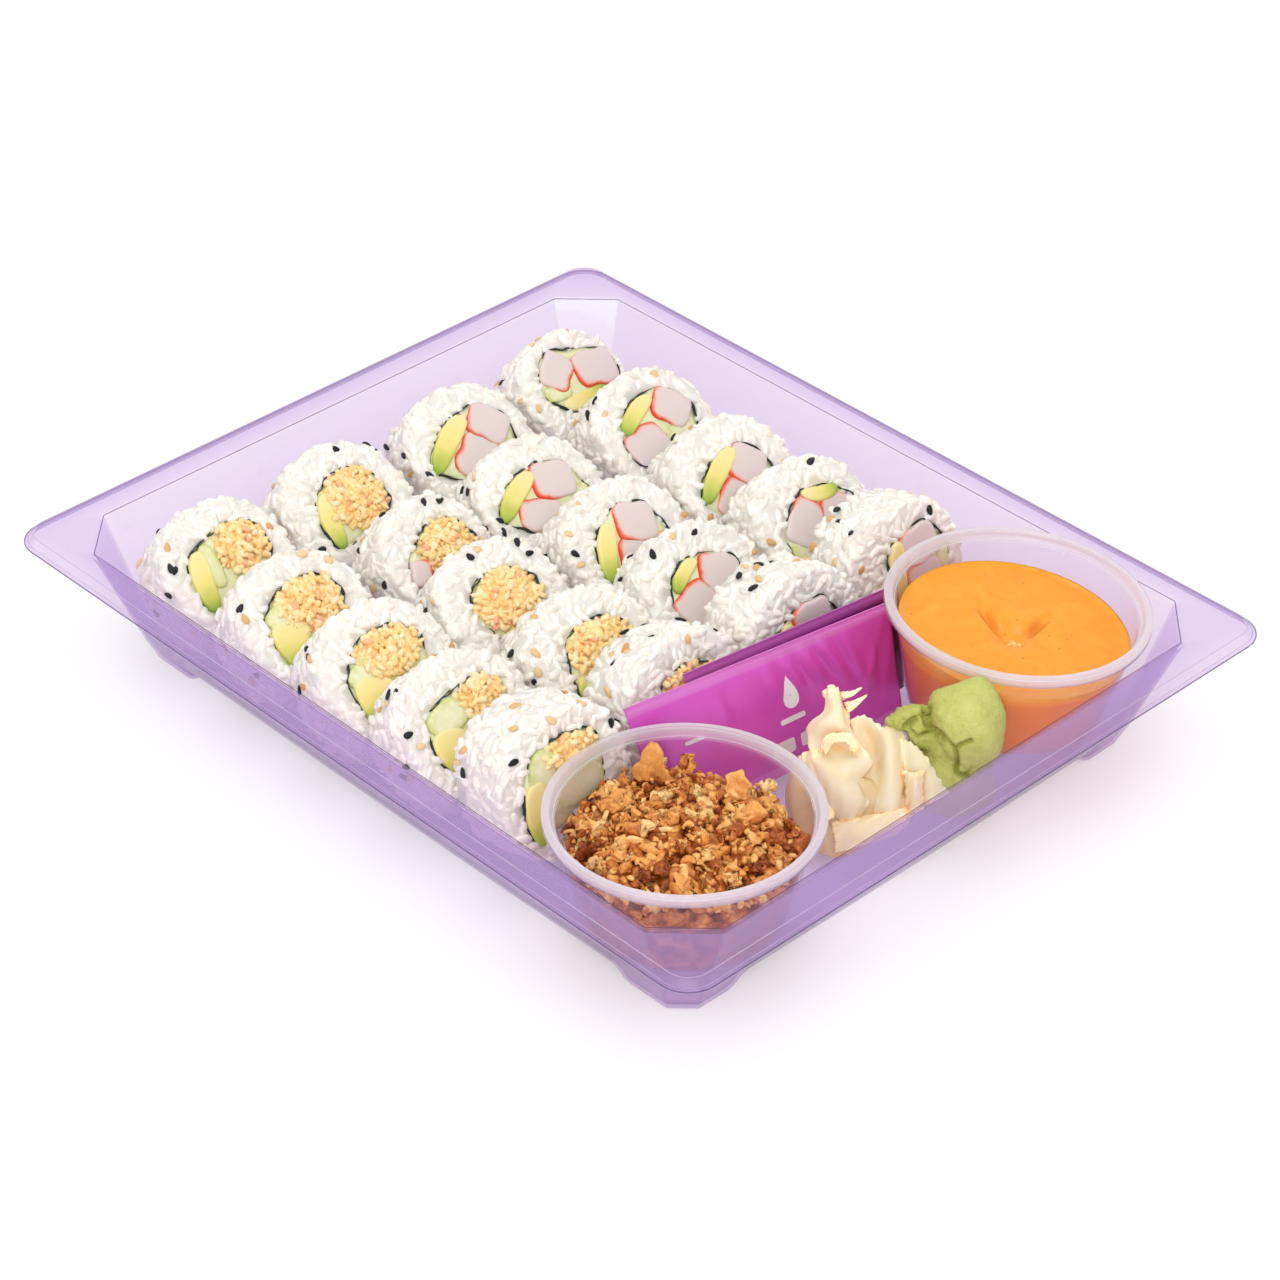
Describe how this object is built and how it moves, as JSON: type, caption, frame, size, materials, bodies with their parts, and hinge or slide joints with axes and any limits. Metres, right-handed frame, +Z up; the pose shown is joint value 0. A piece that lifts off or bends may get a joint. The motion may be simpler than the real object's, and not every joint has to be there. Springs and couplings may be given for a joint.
{
  "type": "takeaway sushi tray",
  "caption": "Clear violet tray of leaning inside-out sushi rolls with cups of fried onion and orange sauce, foil sachets, pickled ginger and wasabi.",
  "frame": {"origin": "middle of the tray on the surface that it stands on", "axes": "+X along the tray's long side towards the cups, +Y along its short side towards the sauce cup, +Z up"},
  "size_m": [0.275, 0.2224, 0.0494],
  "materials": {
    "tray_plastic": "clear violet thermoformed sheet, glossy",
    "cup_plastic": "clear, slightly hazy",
    "rice": "moist cooked rice grains round nori, crab, avocado and cucumber",
    "fried_onion": "crisp fried flakes",
    "sauce": "thick creamy orange sauce, soft gloss",
    "sachet_foil": "metallic magenta film",
    "wasabi": "firm paste",
    "ginger": "moist thin slices"
  },
  "bodies": {
    "root": {"tray": "tray_plastic", "roll_a1": "rice", "roll_a2": "rice", "roll_a3": "rice", "roll_a4": "rice", "roll_a5": "rice", "roll_b1": "rice", "roll_b2": "rice", "roll_b3": "rice", "roll_b4": "rice", "roll_b5": "rice", "roll_c1": "rice", "roll_c2": "rice", "roll_c3": "rice", "roll_c4": "rice", "roll_c5": "rice", "roll_d1": "rice", "roll_d2": "rice", "roll_d3": "rice", "roll_d4": "rice", "roll_d5": "rice", "cup_onion": "cup_plastic", "onion_heap": "fried_onion", "cup_sauce": "cup_plastic", "sauce": "sauce", "sachet_front": "sachet_foil", "sachet_back": "sachet_foil", "wasabi": "wasabi", "ginger": "ginger"}
  },
  "joints": []
}
